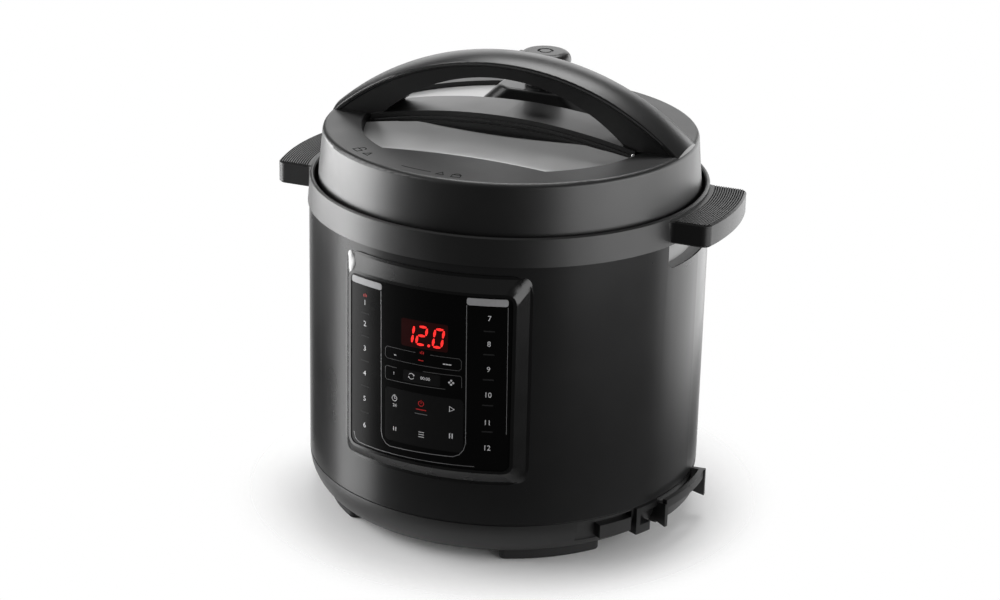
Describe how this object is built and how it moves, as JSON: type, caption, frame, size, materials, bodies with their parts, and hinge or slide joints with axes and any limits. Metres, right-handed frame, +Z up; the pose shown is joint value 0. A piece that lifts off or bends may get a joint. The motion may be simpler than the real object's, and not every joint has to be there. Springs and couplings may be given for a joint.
{
  "type": "electric pressure cooker",
  "caption": "Round electric pressure cooker with a bayonet lid under an arched handle, a curved front control panel, side handles, a steam release knob and a rear condensate cup.",
  "frame": {"origin": "on the table, under the centre of the pot", "axes": "+Z up along the pot's axis; the control panel faces -Y; the side handles point along X"},
  "size_m": [0.33, 0.294, 0.324],
  "materials": {
    "satin_black_metal": "satin black paint",
    "satin_black_plastic": "fine satin grain",
    "handle_black_plastic": "satin, lightly polished",
    "panel_black_gloss": "glossy printed panel",
    "bezel_black_gloss": "semi-gloss",
    "pocket_grey_plastic": "matt light grey",
    "foot_rubber": "matt black rubber",
    "pan_steel": "spun stainless steel",
    "pot_coating": "non-stick coating with a satin sheen",
    "plate_aluminium": "cast and machined",
    "element_steel": "heat-stained tube",
    "spring_steel": "drawn wire",
    "zinc_steel": "zinc plated",
    "board_laminate": "green circuit board",
    "component_plastic": "moulded component bodies",
    "display_red": "red numeric display",
    "cup_plastic": "translucent grey moulding",
    "seal_silicone": "milky silicone",
    "valve_brass": "turned",
    "float_steel": "polished pin",
    "cap_silicone": "red silicone",
    "white_plastic": "plain moulding",
    "inlay_metal": "satin plate"
  },
  "bodies": {
    "cooker_body": {"outer_shell": "satin_black_metal", "base_moulding": "satin_black_plastic", "rubber_feet": "foot_rubber", "top_collar": "satin_black_plastic", "finger_pockets": "pocket_grey_plastic", "cord_gland": "foot_rubber", "cord_cleat": "satin_black_plastic", "outer_pot": "pan_steel", "inner_pot": "pot_coating", "heating_plate": "plate_aluminium", "heating_element": "element_steel", "sensor_bracket": "zinc_steel", "sensor_spring": "spring_steel", "thermal_cutout": "white_plastic", "panel_bezel": "bezel_black_gloss", "panel_overlay": "panel_black_gloss", "panel_carrier": "component_plastic", "display_module": "display_red", "control_board": "board_laminate", "board_screws": "zinc_steel", "power_board": "board_laminate", "power_components": "component_plastic", "support_posts": "zinc_steel", "base_screws": "zinc_steel", "cup_bay": "satin_black_plastic"},
    "lid": {"lid_cover": "satin_black_plastic", "scoop_plates": "inlay_metal", "lid_handle": "handle_black_plastic", "handle_bridge": "handle_black_plastic", "handle_screws": "zinc_steel", "lid_pan": "pan_steel", "lid_screws": "zinc_steel", "gasket_rack": "pan_steel", "vent_pipe": "float_steel", "vent_nut": "valve_brass", "vent_shield": "pan_steel", "valve_deck": "handle_black_plastic", "float_bush": "seal_silicone"},
    "gasket": {"sealing_ring": "seal_silicone"},
    "steam_valve": {"steam_knob": "handle_black_plastic"},
    "float_valve": {"float_pin": "float_steel", "float_cap": "cap_silicone"},
    "heat_sensor": {"sensor_plunger": "plate_aluminium"},
    "cup": {"condensate_cup": "cup_plastic"}
  },
  "joints": [
    {"name": "lid_lift", "type": "slide", "parent": "cooker_body", "child": "gasket", "axis": [0, 0, 1], "range_m": [0, 0.16]},
    {"name": "lid_turn", "type": "hinge", "parent": "gasket", "child": "lid", "pos_m": [0, 0, 0.244], "axis": [0, 0, 1], "range_deg": [-30, 0]},
    {"name": "knob_turn", "type": "hinge", "parent": "lid", "child": "steam_valve", "pos_m": [0, 0.062, 0.3], "axis": [0, 0, 1], "range_deg": [0, 45]},
    {"name": "float_rise", "type": "slide", "parent": "lid", "child": "float_valve", "axis": [0, 0, 1], "range_m": [0, 0.0055]},
    {"name": "sensor_press", "type": "slide", "parent": "cooker_body", "child": "heat_sensor", "axis": [0, 0, 1], "range_m": [-0.004, 0], "stiffness_N_per_m": 400, "springref_m": 0.004, "deforming": ["sensor_spring"]},
    {"name": "cup_pull", "type": "slide", "parent": "cooker_body", "child": "cup", "axis": [0, 1, 0], "range_m": [0, 0.035]}
  ]
}
